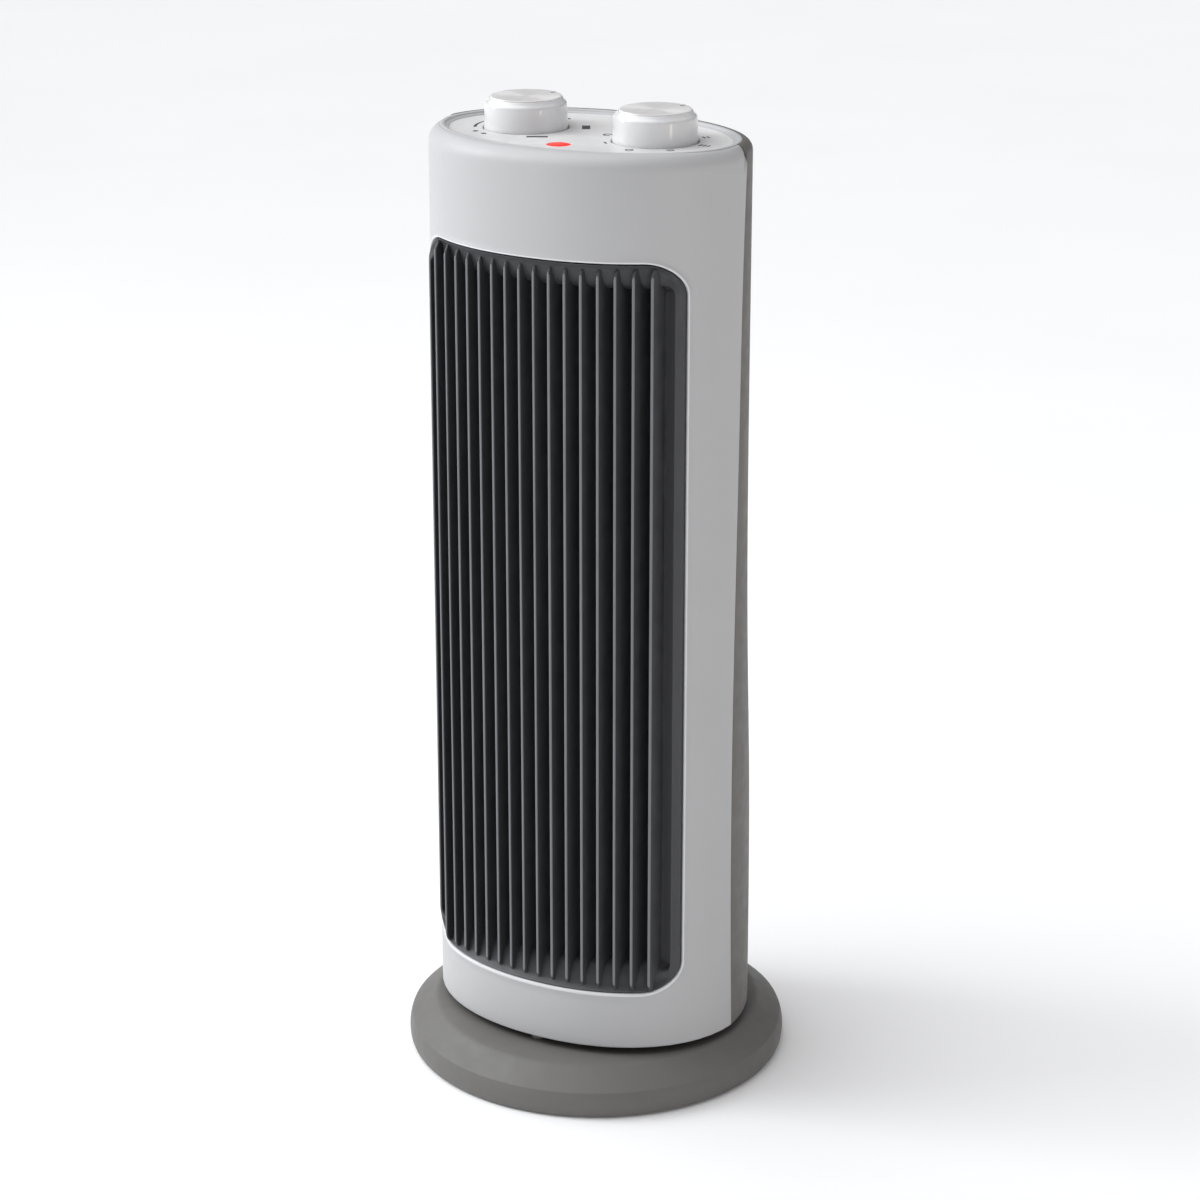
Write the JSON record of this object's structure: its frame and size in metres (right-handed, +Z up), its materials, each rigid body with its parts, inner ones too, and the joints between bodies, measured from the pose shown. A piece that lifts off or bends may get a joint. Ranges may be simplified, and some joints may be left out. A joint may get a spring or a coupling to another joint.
{
  "type": "fan convector heater",
  "caption": "Upright oscillating tower fan heater: two-part casing on a round swivel base, finned front outlet over a heating element, rotary mode and thermostat knobs on top.",
  "frame": {"origin": "on the floor under the swivel axis, at the centre of the round base", "axes": "+Z up along the swivel axis; -Y is the front, with the outlet grille; +X is to the right seen from the front"},
  "size_m": [0.238, 0.2379, 0.6],
  "materials": {
    "white_casing": "satin, moulded ABS",
    "white_knob": "gloss",
    "grey_casing": "fine moulded grain",
    "base_grey": "fine moulded grain",
    "panel_grey": "satin",
    "grille_black": "satin heat-resistant plastic",
    "inner_black": "matte",
    "satin_metal": "spun satin",
    "zinc_steel": "zinc plated",
    "lamination_steel": "stamped laminations",
    "aluminium": "mill finish",
    "brass": "tinned tabs",
    "sintered_bronze": "oil-filled sintered bronze",
    "copper_winding": "enamelled copper wire",
    "rubber": "matte",
    "bearing_white": "acetal",
    "red_lens": "translucent",
    "lamp_white": "clear",
    "lead_insulation": "silicone insulation"
  },
  "bodies": {
    "base": {"base_cover": "base_grey", "base_plate": "base_grey", "base_screws": "zinc_steel", "rubber_feet": "rubber", "cord_inlet": "rubber", "thrust_washer": "bearing_white", "glide_pads": "bearing_white", "swivel_retainer": "zinc_steel", "retainer_screws": "zinc_steel", "osc_motor": "zinc_steel", "osc_motor_screws": "zinc_steel"},
    "osc_crank": {"osc_crank": "bearing_white", "crank_roller": "bearing_white"},
    "tower": {"bottom_plate": "grey_casing", "bottom_screws": "zinc_steel", "front_shell": "white_casing", "rear_shell": "grey_casing", "shell_screws": "zinc_steel", "outlet_grille": "grille_black", "duct_baffle": "inner_black", "baffle_screws": "zinc_steel", "heater_frame": "inner_black", "heater_fins": "aluminium", "ptc_bars": "aluminium", "heater_terminals": "brass", "thermal_cutout": "inner_black", "thermal_fuse": "zinc_steel", "scroll_housing": "inner_black", "top_bush": "sintered_bronze", "top_bush_rubber": "rubber", "motor_stator": "lamination_steel", "motor_coil": "copper_winding", "motor_bracket_upper": "zinc_steel", "motor_bracket_lower": "zinc_steel", "motor_bearings": "sintered_bronze", "motor_screws": "zinc_steel", "control_panel": "panel_grey", "mode_switch": "inner_black", "thermostat": "inner_black", "control_screws": "zinc_steel", "indicator_lens": "red_lens", "indicator_lamp": "lamp_white", "tilt_bracket": "zinc_steel", "tilt_pin": "zinc_steel", "tilt_microswitch": "inner_black", "supply_leads": "lead_insulation"},
    "fan": {"fan_impeller": "inner_black", "fan_shaft": "zinc_steel", "fan_stub_shaft": "zinc_steel", "motor_rotor": "lamination_steel"},
    "mode_dial": {"mode_knob": "white_knob", "mode_knob_disc": "satin_metal", "mode_spindle": "zinc_steel"},
    "thermostat_dial": {"thermostat_knob": "white_knob", "thermostat_knob_disc": "satin_metal", "thermostat_spindle": "zinc_steel"},
    "tilt_pendulum": {"tilt_pendulum": "zinc_steel"}
  },
  "joints": [
    {"name": "swivel", "type": "hinge", "parent": "base", "child": "tower", "pos_m": [0, 0, 0.0335], "axis": [0, 0, 1], "range_deg": [-30, 30]},
    {"name": "crank_turn", "type": "hinge", "parent": "base", "child": "osc_crank", "pos_m": [0, 0.04, 0.03], "axis": [0, 0, 1], "range_deg": [-90, 90]},
    {"name": "fan_spin", "type": "hinge", "parent": "tower", "child": "fan", "pos_m": [0, 0.028, 0.3], "axis": [0, 0, 1], "continuous": true},
    {"name": "mode_turn", "type": "hinge", "parent": "tower", "child": "mode_dial", "pos_m": [0.0434, -0.007, 0.58], "axis": [0, 0, 1], "range_deg": [-225, 0]},
    {"name": "thermostat_turn", "type": "hinge", "parent": "tower", "child": "thermostat_dial", "pos_m": [-0.0434, -0.007, 0.58], "axis": [0, 0, 1], "range_deg": [-63, 207]},
    {"name": "tilt_swing", "type": "hinge", "parent": "tower", "child": "tilt_pendulum", "pos_m": [-0.06, 0.024, 0.07], "axis": [0, 1, 0], "range_deg": [-20, 20]}
  ],
  "couplings": [
    {"joint": "crank_turn", "follows": "swivel", "ratio": 3}
  ]
}
